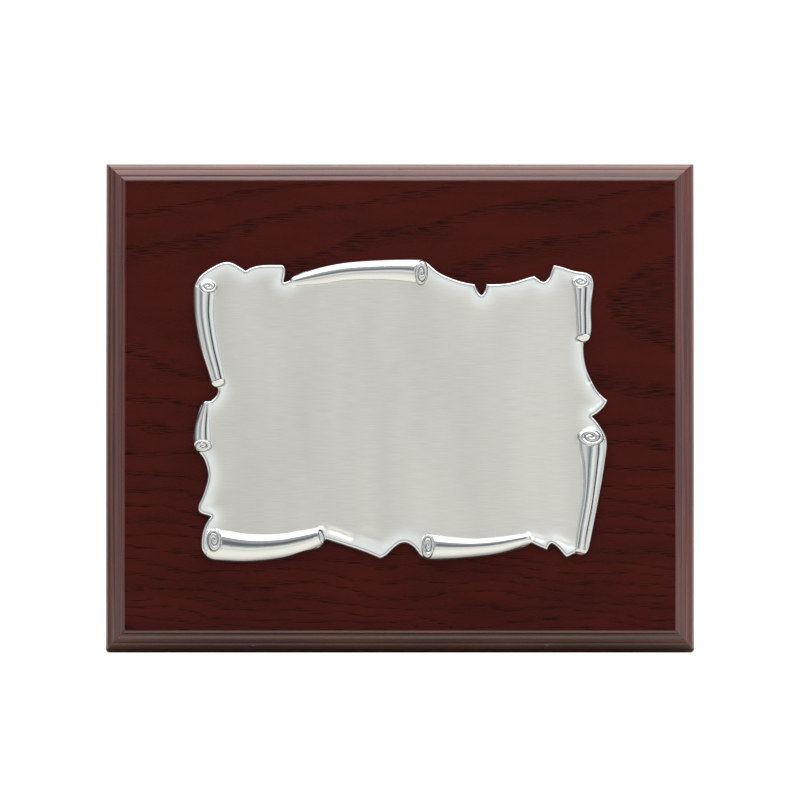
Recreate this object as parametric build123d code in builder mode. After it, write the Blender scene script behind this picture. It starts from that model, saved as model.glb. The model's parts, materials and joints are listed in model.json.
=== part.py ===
from build123d import *
import os
from math import atan2, cos, radians, sin

# A wooden award plaque: a veneered board edged with mitred mouldings, a pressed metal scroll plate
# on its front, a keyhole hanger and a hinged easel strut behind. It is modelled standing on a table.
# Millimetres. The front faces -Y and +Z is up; the origin lies on the table under its middle.

os.makedirs("parts", exist_ok=True)

# Driving dimensions
board_width = 300.0
board_height = 250.0
board_thickness = 15.0
moulding_width = 10.0
lean = 10.0  # degrees that the standing board leans back
hinge_height = 165.0  # strut's hinge above the board's bottom edge, measured along the board
opening = 20.0  # degrees between the board and the open strut
table_to_origin = 26.0  # the back bottom edge stands this far in front of the origin

# Board build-up
face_width = board_width - 2 * moulding_width
face_height = board_height - 2 * moulding_width
veneer_thickness = 0.8
backing_thickness = 0.6
tongue_thickness = 3.0
tongue_length = 4.0
tongue_depth = 8.5  # tongue's front side below the face

# Moulding profile, outwards from the face panel
slope_run, slope_drop = 1.3, 0.4
bead_run, bead_drop = 2.8, 2.1
bead_bulge = 0.35
cove_run, cove_drop = 6.2, 4.3
cove_sag = 0.45
nose_drop = 12.0
corner_radius = 2.0  # worn lower corners of the board
open_mitre = 0.3  # the upper right mitre has opened a little

# Scroll plate and its foam pads
plate_drop = 2.0  # plate's middle below the middle of the board
plate_rise = 2.4  # front of its flat field above the face
skin = 0.8
rim_gap = 0.3
roll_root = 0.4  # rolls start this far below the front of the field
roll_inset = 1.0  # rim left beside a roll
roll_rise = 0.48  # a roll's crest above the field, as a part of its half width
pad_width, pad_height = 46.0, 18.0
pad_spacing_x, pad_spacing_y = 110.0, 80.0

# Hanger
hanger_up = 95.0
hanger_width, hanger_height, hanger_thickness = 46.0, 20.0, 1.0
entry_radius = 4.5
entry_drop = 3.5
neck_radius = 2.2
neck_rise = 9.0
pocket_width, pocket_height, pocket_depth = 22.0, 18.0, 7.0
pocket_corner = 3.0

# Screws
screw_radius = 1.4
head_radius = 2.7
head_height = head_radius - screw_radius
slot_length, slot_width, slot_depth = 3.2, 0.7, 0.7
board_screw_length = 9.0
strut_screw_length = 4.6

# Hinge
pin_radius = 1.0
pin_clearance = 0.04
barrel_radius = 1.9
pin_rise = 2.4  # pin's axis above the back
leaf_thickness = 1.0
leaf_gap = 2.3
leaf_height = 24.0
hinge_width = 36.0
middle_knuckle = 15.0
knuckle_gap = 0.3

# Easel strut
strut_thickness = 5.0
strut_rise = 2.3  # strut's inner face above the pin's axis
strut_head = 16.0
strut_head_width = 46.0
strut_foot_width = 84.0
stop_gap = 0.3

# Wall bumpers
bumper_radius = 5.0
bumper_height = 2.2
bumper_inset = 14.0

# Working planes: board looks out of the face, back out of the back, strut out of the open strut
up = Vector(0, sin(radians(lean)), cos(radians(lean)))
front = Vector(0, -cos(radians(lean)), sin(radians(lean)))
back_middle = Vector(0, -table_to_origin, 0) + up * (board_height / 2)
board = Plane(origin=back_middle + front * board_thickness, x_dir=(1, 0, 0), z_dir=front)
back = Plane(origin=back_middle, x_dir=(-1, 0, 0), z_dir=front * -1)
plate = Plane(origin=board.origin - up * plate_drop, x_dir=(1, 0, 0), z_dir=front)
hinge_up = hinge_height - board_height / 2
pin_middle = back_middle + up * hinge_up - front * pin_rise
strut_out = up * sin(radians(opening)) - front * cos(radians(opening))
strut = Plane(origin=pin_middle, x_dir=(-1, 0, 0), z_dir=strut_out)
pin_line = Plane(origin=pin_middle, x_dir=up, z_dir=(1, 0, 0))
leaf_side = pin_middle + strut_out * (strut_rise - leaf_thickness)
strut_leaf_face = Plane(origin=leaf_side, x_dir=(1, 0, 0), z_dir=strut_out * -1)

hanger_spots = [(-17.5, hanger_up), (17.5, hanger_up)]
board_leaf_spots = [(-12, hinge_up + 12), (12, hinge_up + 12), (0, hinge_up + 20)]
strut_leaf_spots = [(-12, -12), (12, -12), (0, -20)]
bumper_spots = GridLocations(board_width - 2 * bumper_inset, board_height - 2 * bumper_inset, 2, 2)


def make_screws(face, spots, length):
    """Slotted countersunk screws with their heads flush with the plane and their shanks behind it."""
    with BuildPart() as screws:
        with BuildSketch(face):
            with Locations(*spots):
                Circle(head_radius)
        extrude(amount=-head_height, taper=45)
        with BuildSketch(face.offset(-head_height)):
            with Locations(*spots):
                Circle(screw_radius)
        extrude(amount=head_height - length)
        with BuildSketch(face):
            with Locations(*spots):
                Rectangle(slot_length, slot_width)
                Rectangle(slot_width, slot_length)
        extrude(amount=-slot_depth, mode=Mode.SUBTRACT)
    return screws.part


def cut_screw_holes(face, spots, length):
    """Cut the screws' countersinks and holes from the part being built."""
    with BuildSketch(face) as heads:
        with Locations(*spots):
            Circle(head_radius)
    extrude(heads.sketch, amount=-head_height, taper=45, mode=Mode.SUBTRACT)
    with BuildSketch(face) as shanks:
        with Locations(*spots):
            Circle(screw_radius)
    extrude(shanks.sketch, amount=-length, mode=Mode.SUBTRACT)


def cut_hanger_recess():
    """Cut the hanger's recess and the pocket behind its keyhole from the part being built."""
    with BuildSketch(back) as recess:
        with Locations((0, hanger_up)):
            SlotOverall(hanger_width, hanger_height)
    extrude(recess.sketch, amount=-hanger_thickness, mode=Mode.SUBTRACT)
    with BuildSketch(back) as pocket:
        with Locations((0, hanger_up)):
            RectangleRounded(pocket_width, pocket_height, pocket_corner)
    extrude(pocket.sketch, amount=-pocket_depth, mode=Mode.SUBTRACT)


# Board: core, face veneer and backing
with BuildPart() as core_panel:
    with BuildSketch(back.offset(-backing_thickness)):
        Rectangle(face_width, face_height)
    extrude(amount=-(board_thickness - backing_thickness - veneer_thickness))
    with BuildSketch(board.offset(-tongue_depth)) as groove:
        Rectangle(face_width, face_height)
        offset(amount=-tongue_length, kind=Kind.INTERSECTION, mode=Mode.SUBTRACT)
    extrude(amount=-tongue_thickness, mode=Mode.SUBTRACT)
    cut_hanger_recess()
    cut_screw_holes(back, hanger_spots, board_screw_length)
    cut_screw_holes(back.offset(leaf_thickness), board_leaf_spots, board_screw_length)
core_panel.part.label = "core_panel"
export_step(core_panel.part, "parts/core_panel.step")

with BuildPart() as face_veneer:
    with BuildSketch(board):
        Rectangle(face_width, face_height)
    extrude(amount=-veneer_thickness)
face_veneer.part.label = "face_veneer"
export_step(face_veneer.part, "parts/face_veneer.step")

with BuildPart() as back_veneer:
    with BuildSketch(back):
        Rectangle(face_width, face_height)
    extrude(amount=-backing_thickness)
    cut_hanger_recess()
    cut_screw_holes(back.offset(leaf_thickness), board_leaf_spots, board_screw_length)
back_veneer.part.label = "back_veneer"
export_step(back_veneer.part, "parts/back_veneer.step")


# Mouldings: one profile run along each side, mitred where it meets its neighbours
def mitred_ends(out_x, out_y):
    """Corners of a strip's footprint, its mitres 45 degrees and the upper right one open by a hair."""
    half_x, half_y = face_width / 2, face_height / 2
    reach = moulding_width + 1
    if out_y:
        gap = open_mitre / 2 if out_y > 0 else 0
        inner, outer = out_y * (half_y - tongue_length), out_y * (half_y + reach)
        return [
            (-half_x + tongue_length, inner),
            (-half_x - reach, outer),
            (half_x + reach - gap, outer),
            (half_x - tongue_length - gap, inner),
        ]
    gap = open_mitre / 2 if out_x > 0 else 0
    inner, outer = out_x * (half_x - tongue_length), out_x * (half_x + reach)
    return [
        (inner, -half_y + tongue_length),
        (outer, -half_y - reach),
        (outer, half_y + reach - gap),
        (inner, half_y - tongue_length - gap),
    ]


def make_moulding(out_x, out_y):
    """The strip on the side of the board that lies towards (out_x, out_y) from its middle."""
    outwards = board.x_dir * out_x + board.y_dir * out_y
    edge = board.origin + board.x_dir * (out_x * face_width / 2) + board.y_dir * (out_y * face_height / 2)
    profile_plane = Plane(origin=edge, x_dir=outwards, z_dir=outwards.cross(front))
    with BuildPart() as strip:
        with BuildSketch(profile_plane):
            with BuildLine():
                slope = Line((0, 0), (slope_run, -slope_drop))
                bead = SagittaArc(slope @ 1, (bead_run, -bead_drop), -bead_bulge)
                cove = SagittaArc(bead @ 1, (cove_run, -cove_drop), cove_sag)
                nose = EllipticalCenterArc(
                    center=(cove_run, -nose_drop),
                    x_radius=moulding_width - cove_run,
                    y_radius=nose_drop - cove_drop,
                    start_angle=0,
                    arc_size=90,
                )
                Polyline(
                    nose @ 0,
                    (moulding_width, -board_thickness),
                    (0, -board_thickness),
                    (0, -tongue_depth - tongue_thickness),
                    (-tongue_length, -tongue_depth - tongue_thickness),
                    (-tongue_length, -tongue_depth),
                    (0, -tongue_depth),
                    (0, 0),
                )
            make_face()
        extrude(amount=board_width, both=True)
        # mitred ends, and the worn lower corners of the board
        with BuildSketch(board):
            Polygon(*mitred_ends(out_x, out_y), align=None)
        extrude(amount=-board_thickness, mode=Mode.INTERSECT)
        with BuildSketch(board) as outline:
            Rectangle(board_width, board_height)
            fillet(outline.vertices().group_by(Axis.Y)[0], corner_radius)
        extrude(amount=-board_thickness, mode=Mode.INTERSECT)
    return strip.part


for side, (out_x, out_y) in {"top": (0, 1), "bottom": (0, -1), "left": (-1, 0), "right": (1, 0)}.items():
    moulding = make_moulding(out_x, out_y)
    moulding.label = f"moulding_{side}"
    export_step(moulding, f"parts/moulding_{side}.step")


# Scroll plate: a torn and curled parchment, pressed from sheet with its rim turned down
# Its outline runs clockwise from the foot of the upper left roll; each list is one smooth stretch.
plate_outline = [
    [(-93, 11), (-95.5, 12.4), (-97, 16.5), (-100, 26), (-102.8, 36), (-104.6, 48), (-105.2, 60),
     (-104.2, 64.7), (-101, 69), (-95, 73.1), (-87, 75.4), (-83, 73.7), (-78.7, 70.9)],
    [(-78.7, 70.9), (-74, 73.1), (-68, 73.9), (-60.2, 73.9)],
    [(-60.2, 73.9), (-58.8, 72.8), (-58.5, 69), (-59.2, 65)],
    [(-59.2, 65), (-56, 66.2), (-53, 68.5), (-48, 70.6), (-38, 73), (-28, 74.9), (-14, 76.1), (0, 76.6),
     (9.5, 76.7), (13, 75.6), (18, 71.3), (24, 67.9), (31, 65.4), (38.2, 64)],
    [(38.2, 64), (39.6, 60.6), (41.5, 58.4), (43, 60.4), (43.8, 64.1)],
    [(43.8, 64.1), (50, 64.1), (58, 65.1), (66, 67.6), (68.4, 68.2)],
    [(68.4, 68.2), (71, 66.2), (73.2, 65.2), (75.2, 66.6), (76.8, 70.2), (78.4, 73.8)],
    [(78.4, 73.8), (84, 72.4), (90, 70.6), (95, 69.8), (97.8, 67.8), (98.7, 64.6), (98, 58), (97.4, 48),
     (97.1, 38), (95.8, 35.3), (93.6, 34)],
    [(93.6, 34), (93.8, 27), (95, 20.8), (98, 13.8), (102, 7.6), (105.7, 4.4)],
    [(105.7, 4.4), (104, 1.4), (101, -1.7), (97.8, -3.7)],
    [(97.8, -3.7), (100.4, -6.7), (103.4, -11), (105.3, -16), (105.1, -22), (103.8, -31), (101.7, -43),
     (99.2, -56), (96.6, -69), (95, -73.1), (92, -74.6), (89.2, -73.9), (86.6, -75), (84.7, -75.8)],
    [(84.7, -75.8), (82, -73), (79, -69.8), (76.8, -68.9), (75.6, -70.2), (74.8, -72.1)],
    [(74.8, -72.1), (71, -70.5), (66.6, -68.3)],
    [(66.6, -68.3), (65.4, -69.5), (60, -71.4), (50, -73.8), (38, -75.5), (26, -76.5), (16, -76.9),
     (11, -75.4), (8, -71.8), (5.5, -69.6), (2, -68.4), (-1.6, -69.9), (-5, -73), (-8, -75.6),
     (-10.3, -76.4)],
    [(-10.3, -76.4), (-20, -72.4), (-30, -69.1), (-37.4, -66.7)],
    [(-37.4, -66.7), (-38.6, -67.4), (-39.4, -69.4), (-46, -72), (-56, -75), (-68, -77.1), (-82, -77.9),
     (-92, -77.4), (-98, -75.6), (-100.6, -72), (-101, -66), (-99.5, -60), (-96.3, -55)],
    [(-96.3, -55), (-99.6, -54), (-102, -52.7), (-102.8, -50.3), (-101.4, -46.5), (-99, -40), (-97.8, -35),
     (-98.4, -29.5), (-100.6, -24.3), (-103.5, -20.8), (-105, -17.3), (-104.7, -10), (-102.8, -2),
     (-101, 2.4), (-98.5, 4), (-96.3, 4.2)],
    [(-96.3, 4.2), (-93.9, 6.6), (-92.8, 9.2), (-93, 11)],
]
# Hollow behind the plate, a little inside its outline
plate_hollow = [
    (-101, 58), (-98, 66), (-86, 71.5), (-78.5, 67.5), (-62.5, 70), (-62, 61.5), (-36, 70), (8, 73),
    (24, 63.5), (41.5, 54.5), (68, 63.5), (77, 64), (82, 69), (94.5, 66), (93.5, 38), (89.5, 32), (91, 19),
    (101, 5), (94, -4), (101.5, -17), (93, -69.5), (85, -71.5), (77, -65), (66.5, -64.5), (40, -71),
    (15, -73), (6, -65.5), (-2, -65.5), (-10.5, -72.5), (-37.5, -63), (-45, -67.5), (-80, -73.5),
    (-95, -73), (-97, -66), (-92, -55), (-98.5, -51), (-93.5, -36), (-96, -25), (-101, -17), (-98.5, -2),
    (-88.5, 8), (-93.5, 17),
]
# Curled rolls: (across, up, half width) along each one, from its narrow end to its open end
plate_rolls = [
    [(-92.4, 14, 3.6), (-94.2, 20, 4.1), (-98.2, 40, 4.8), (-99.2, 61, 5.7)],
    [(-51, 65.6, 3.6), (-30, 69.8, 4.5), (-10, 70.8, 5.3), (9, 70.1, 6.4)],
    [(93.2, 37.5, 3.8), (93.3, 50, 4.0), (92.9, 64, 5.2)],
    [(92.6, -70, 3.9), (96.2, -50, 4.4), (98.2, -30, 5.9), (97.8, -16, 7.0)],
    [(64, -66.8, 2.9), (45, -70.5, 4.2), (30, -71.1, 5.1), (15.5, -70.5, 6.2)],
    [(-41, -65.2, 4.5), (-55, -69.3, 5.8), (-75, -70.8, 7.0), (-94.5, -69.3, 7.8)],
    [(-98.6, 1.5, 2.4), (-100.2, -8, 4.3), (-100.3, -17, 4.8)],
]


def roll_section(x, y, half_width, heading):
    """Half-elliptic section of a roll, square to its heading, rooted just under the plate's field."""
    along = plate.x_dir * cos(heading) + plate.y_dir * sin(heading)
    middle = plate.from_local_coords(Vector(x, y, plate_rise - roll_root))
    with BuildSketch(Plane(origin=middle, x_dir=front.cross(along), z_dir=along)) as section:
        Ellipse(half_width - roll_inset, roll_root + roll_rise * half_width)
        Rectangle(2 * half_width, 2 * half_width, align=(Align.CENTER, Align.MIN), mode=Mode.INTERSECT)
    return section.sketch


with BuildPart() as scroll_plate:
    with BuildSketch(plate.offset(rim_gap)):
        with BuildLine():
            for stretch in plate_outline:
                Spline(*stretch)
        make_face()
    extrude(amount=plate_rise - rim_gap)
    for stations in plate_rolls:
        (first_x, first_y, _), (last_x, last_y, _) = stations[0], stations[-1]
        heading = atan2(last_y - first_y, last_x - first_x)
        sections = [roll_section(x, y, half_width, heading) for x, y, half_width in stations]
        add(loft(sections, mode=Mode.PRIVATE))
    with BuildSketch(plate.offset(rim_gap)):
        Polygon(*plate_hollow, align=None)
    extrude(amount=plate_rise - rim_gap - skin, mode=Mode.SUBTRACT)
scroll_plate.part.label = "scroll_plate"
export_step(scroll_plate.part, "parts/scroll_plate.step")

with BuildPart() as plate_foam_pads:
    with BuildSketch(plate):
        with GridLocations(pad_spacing_x, pad_spacing_y, 2, 2):
            RectangleRounded(pad_width, pad_height, 1)
    extrude(amount=plate_rise - skin)
plate_foam_pads.part.label = "plate_foam_pads"
export_step(plate_foam_pads.part, "parts/plate_foam_pads.step")

# Hanger: the wall screw's head goes in at the round entry and slides up the neck
with BuildPart() as keyhole_hanger:
    with BuildSketch(back.offset(-hanger_thickness)):
        with Locations((0, hanger_up)):
            SlotOverall(hanger_width, hanger_height)
        with Locations((0, hanger_up - entry_drop)):
            Circle(entry_radius, mode=Mode.SUBTRACT)
        with Locations((0, hanger_up - entry_drop + neck_rise)):
            Circle(neck_radius, mode=Mode.SUBTRACT)
        with Locations((0, hanger_up - entry_drop + neck_rise / 2)):
            Rectangle(2 * neck_radius, neck_rise, mode=Mode.SUBTRACT)
    extrude(amount=hanger_thickness)
    cut_screw_holes(back, hanger_spots, board_screw_length)
keyhole_hanger.part.label = "keyhole_hanger"
export_step(keyhole_hanger.part, "parts/keyhole_hanger.step")

with BuildPart() as wall_bumpers:
    with BuildSketch(back):
        with bumper_spots:
            Circle(bumper_radius)
    extrude(amount=bumper_height)
    fillet(wall_bumpers.faces().sort_by(Axis(back.origin, back.z_dir))[-4:].edges(), bumper_height / 2)
wall_bumpers.part.label = "wall_bumpers"
export_step(wall_bumpers.part, "parts/wall_bumpers.step")

# Hinge: barrel of three knuckles on one pin, the outer two on the board's leaf
outer_knuckle = (hinge_width - middle_knuckle) / 2 - knuckle_gap
with BuildPart() as hinge_fixed_leaf:
    with BuildSketch(back):
        with Locations((0, hinge_up + leaf_gap + leaf_height / 2)):
            Rectangle(hinge_width, leaf_height)
        for x in (-hinge_width / 2, hinge_width / 2 - outer_knuckle):
            with Locations((x, hinge_up)):
                Rectangle(outer_knuckle, leaf_gap, align=(Align.MIN, Align.MIN))
    extrude(amount=leaf_thickness)
    for x in (-hinge_width / 2, hinge_width / 2 - outer_knuckle):
        with BuildSketch(pin_line.offset(x)):
            Circle(barrel_radius)
        extrude(amount=outer_knuckle)
    with BuildSketch(pin_line.offset(-hinge_width / 2)):
        Circle(pin_radius + pin_clearance)
    extrude(amount=hinge_width, mode=Mode.SUBTRACT)
    cut_screw_holes(back.offset(leaf_thickness), board_leaf_spots, board_screw_length)
hinge_fixed_leaf.part.label = "hinge_fixed_leaf"
export_step(hinge_fixed_leaf.part, "parts/hinge_fixed_leaf.step")

with BuildPart() as hinge_moving_leaf:
    with BuildSketch(strut.offset(strut_rise - leaf_thickness)):
        with Locations((0, -leaf_gap - leaf_height / 2)):
            Rectangle(hinge_width, leaf_height)
        Rectangle(middle_knuckle, leaf_gap, align=(Align.CENTER, Align.MAX))
    extrude(amount=leaf_thickness)
    with BuildSketch(pin_line.offset(-middle_knuckle / 2)):
        Circle(barrel_radius)
    extrude(amount=middle_knuckle)
    with BuildSketch(pin_line.offset(-middle_knuckle / 2)):
        Circle(pin_radius + pin_clearance)
    extrude(amount=middle_knuckle, mode=Mode.SUBTRACT)
    cut_screw_holes(strut_leaf_face, strut_leaf_spots, strut_screw_length)
hinge_moving_leaf.part.label = "hinge_moving_leaf"
export_step(hinge_moving_leaf.part, "parts/hinge_moving_leaf.step")

with BuildPart() as hinge_pin:
    with BuildSketch(pin_line.offset(-hinge_width / 2)):
        Circle(pin_radius)
    extrude(amount=hinge_width)
hinge_pin.part.label = "hinge_pin"
export_step(hinge_pin.part, "parts/hinge_pin.step")

# Strut: its head is bevelled to bear on the fixed leaf when open, its foot is cut level
with BuildPart() as easel_strut:
    with BuildSketch(strut.offset(strut_rise)):
        Polygon(
            (-strut_head_width / 2, strut_head),
            (strut_head_width / 2, strut_head),
            (strut_foot_width / 2, -hinge_height - strut_head),
            (-strut_foot_width / 2, -hinge_height - strut_head),
            align=None,
        )
    extrude(amount=strut_thickness)
    split(bisect_by=back.offset(leaf_thickness + stop_gap), keep=Keep.TOP)
    split(bisect_by=Plane.XY, keep=Keep.TOP)
    cut_screw_holes(strut_leaf_face, strut_leaf_spots, strut_screw_length)
easel_strut.part.label = "easel_strut"
export_step(easel_strut.part, "parts/easel_strut.step")

# Screws of the hanger and of the two leaves
screw_groups = {
    "hanger_screws": (back, hanger_spots, board_screw_length),
    "fixed_leaf_screws": (back.offset(leaf_thickness), board_leaf_spots, board_screw_length),
    "moving_leaf_screws": (strut_leaf_face, strut_leaf_spots, strut_screw_length),
}
for name, (face, spots, length) in screw_groups.items():
    screws = make_screws(face, spots, length)
    screws.label = name
    export_step(screws, f"parts/{name}.step")
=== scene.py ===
import json
import math

import bpy
import numpy as np
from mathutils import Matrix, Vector
from mathutils.geometry import delaunay_2d_cdt
from mathutils.kdtree import KDTree

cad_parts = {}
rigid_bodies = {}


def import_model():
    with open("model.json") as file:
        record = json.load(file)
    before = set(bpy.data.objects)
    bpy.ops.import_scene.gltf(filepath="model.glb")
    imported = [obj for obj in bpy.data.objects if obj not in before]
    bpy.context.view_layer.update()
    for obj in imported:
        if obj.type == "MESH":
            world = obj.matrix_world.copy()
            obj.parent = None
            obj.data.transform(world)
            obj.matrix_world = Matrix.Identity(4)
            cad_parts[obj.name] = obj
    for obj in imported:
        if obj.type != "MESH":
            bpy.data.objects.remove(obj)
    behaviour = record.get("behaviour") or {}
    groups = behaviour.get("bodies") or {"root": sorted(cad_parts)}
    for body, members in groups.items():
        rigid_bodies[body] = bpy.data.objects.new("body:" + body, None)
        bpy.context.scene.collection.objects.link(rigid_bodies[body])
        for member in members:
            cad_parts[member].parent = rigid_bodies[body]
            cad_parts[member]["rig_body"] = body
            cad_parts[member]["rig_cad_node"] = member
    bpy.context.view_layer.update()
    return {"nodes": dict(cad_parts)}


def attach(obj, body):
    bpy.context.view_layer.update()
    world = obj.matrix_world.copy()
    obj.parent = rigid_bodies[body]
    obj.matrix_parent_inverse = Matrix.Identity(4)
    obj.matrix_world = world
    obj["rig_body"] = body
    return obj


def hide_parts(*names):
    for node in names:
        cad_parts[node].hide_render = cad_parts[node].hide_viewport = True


# A lacquered award plaque with a pressed scroll plate, standing on its easel strut.
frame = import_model()
scene = bpy.context.scene
mm = 0.001


def deselectAll():
    if bpy.context.object and bpy.context.object.mode != "OBJECT":
        bpy.ops.object.mode_set(mode="OBJECT")
    bpy.ops.object.select_all(action="DESELECT")


def findBoardFace():
    # middle of the wooden face, the way it looks and the way up along it, read from its veneer
    mesh = frame["nodes"]["face_veneer"].data
    facing = [face for face in mesh.polygons if face.normal.y < -0.5]
    corners = [mesh.vertices[i].co for face in facing for i in face.vertices]
    low = Vector(min(c[i] for c in corners) for i in range(3))
    high = Vector(max(c[i] for c in corners) for i in range(3))
    out = facing[0].normal.normalized()
    return (low + high) / 2, out, out.cross(Vector((1, 0, 0)))


faceMiddle, faceOut, faceUp = findBoardFace()
leanTurn = math.atan2(faceUp.z, faceUp.y)  # turns a flat pattern upright on the leaning board
print("frame loaded, board leans", round(90 - math.degrees(leanTurn), 2), "degrees")


cameraSetup = {
    "distance": 8.0,  # long lens, so that the sides stay parallel
    "downAngle": 4.0,
    "widthInView": 0.4073,  # at the board's face
    "aimAboveMiddle": 0.0028,
}


def makeCamera(setup):
    data = bpy.data.cameras.new("camera")
    data.lens = data.sensor_width * setup["distance"] / setup["widthInView"]
    data.clip_start, data.clip_end = 0.5, 60
    camera = bpy.data.objects.new("camera", data)
    scene.collection.objects.link(camera)
    down = math.radians(setup["downAngle"])
    backwards = Vector((0, -math.cos(down), math.sin(down)))
    camera.location = faceMiddle + faceUp * setup["aimAboveMiddle"] + backwards * setup["distance"]
    camera.rotation_euler = (math.pi / 2 - down, 0, 0)
    scene.camera = camera


makeCamera(cameraSetup)


def linear(hexColour):
    # sRGB hex to the linear colour that shaders take
    parts = [int(hexColour[i:i + 2], 16) / 255 for i in (1, 3, 5)]
    return tuple(c / 12.92 if c <= 0.04045 else ((c + 0.055) / 1.055) ** 2.4 for c in parts) + (1,)


def setInputs(node, inputs):
    # a socket is linked, and anything else becomes the input's own value
    for name, value in inputs.items():
        if isinstance(value, bpy.types.NodeSocket):
            node.id_data.links.new(value, node.inputs[name])
        else:
            node.inputs[name].default_value = value


def addNode(tree, kind, inputs=None, **settings):
    node = tree.nodes.new(kind)
    for name, value in settings.items():
        setattr(node, name, value)
    setInputs(node, inputs or {})
    return node


def newMaterial(name):
    material = bpy.data.materials.new(name)
    material.use_nodes = True
    tree = material.node_tree
    tree.nodes.clear()
    shader = addNode(tree, "ShaderNodeBsdfPrincipled")
    addNode(tree, "ShaderNodeOutputMaterial", {"Surface": shader.outputs[0]})
    return material, tree, shader


def setColours(ramp, stops):
    # stops are (position, hex colour); the ramp starts with two of its own
    elements = ramp.color_ramp.elements
    while len(elements) < len(stops):
        elements.new(0.5)
    for element, (position, colour) in zip(elements, stops):
        element.position = position
        element.color = linear(colour)


def boardMillimetres(tree, quarterTurn=False, turn=None):
    # across, up and out on the board, in millimetres from the middle of its face
    place = addNode(tree, "ShaderNodeTexCoord").outputs["Object"]
    turned = addNode(tree, "ShaderNodeMapping", {
        "Vector": place, "Location": faceMiddle, "Rotation": (turn or leanTurn, 0, 0)}, vector_type="TEXTURE")
    scaled = addNode(tree, "ShaderNodeVectorMath", {0: turned.outputs[0], "Scale": 1 / mm}, operation="SCALE")
    if not quarterTurn:
        return scaled.outputs[0]
    return addNode(tree, "ShaderNodeMapping", {
        "Vector": scaled.outputs[0], "Rotation": (0, 0, math.pi / 2)}).outputs[0]


def grainPattern(tree, place, length, width, detail=2.0, roughness=0.5, dimensions="3D"):
    # soft streaks of this length and width in millimetres, from 0 to 1
    fitted = addNode(tree, "ShaderNodeMapping", {
        "Vector": place, "Scale": (1 / length, 1 / width, 1 / width)})
    return addNode(tree, "ShaderNodeTexNoise", {
        "Vector": fitted.outputs[0], "Scale": 1.0, "Detail": detail, "Roughness": roughness},
        noise_dimensions=dimensions).outputs["Fac"]


studio = {
    # what stands round the plaque: degrees from the camera, to its right above zero, and radiance
    "around": [(-180, 0.6), (-125, 0.6), (-108, 0.35), (-80, 0.35), (-66, 0.75), (-56, 1.0), (-42, 1.0),
               (-28, 0.8), (-10, 1.25), (12, 1.2), (28, 1.3), (50, 1.15), (66, 0.85), (90, 0.6),
               (125, 0.75), (180, 0.6)],
    "brightest": 2.0,  # what white means in the ring's colour ramp
    "ceiling": 0.6,
    "ceilingEdge": (0.5, 0.62),  # heights here are sines of angles over the floor
    # grey cloth over the camera, and the dark slot in it that the flat lacquer mirrors; soft says how
    # widely their sides, feet and heads blend out
    "cloths": [
        {"radiance": 0.54, "halfWidth": 0.3, "foot": 0.14, "head": 0.56, "soft": (0.14, 0.05, 0.12)},
        {"radiance": 0.06, "halfWidth": 0.06, "foot": 0.20, "head": 0.345, "soft": (0.04, 0.03, 0.05)},
    ],
    "backdrop": 1.05,
    "topBox": {"size": (2.4, 2.45), "place": (0, -0.03, 1.25), "radiance": 2.2},
    # these two light the edges that face them and are left out of reflections
    "topFill": {"size": (1.2, 0.6), "place": (0, 0.3, 1.2), "radiance": 11.0},
    "rightFill": {"size": (0.8, 1.0), "place": (1.5, 0.15, 0.45), "radiance": 9.0},
    "floorSize": 40,
    "floorGlow": 0.54,
    "floorGlowEdge": (0.045, 0.1),  # metres in front of the board's middle
    "floorSeen": 1.2,  # its strength to the camera
}


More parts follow.
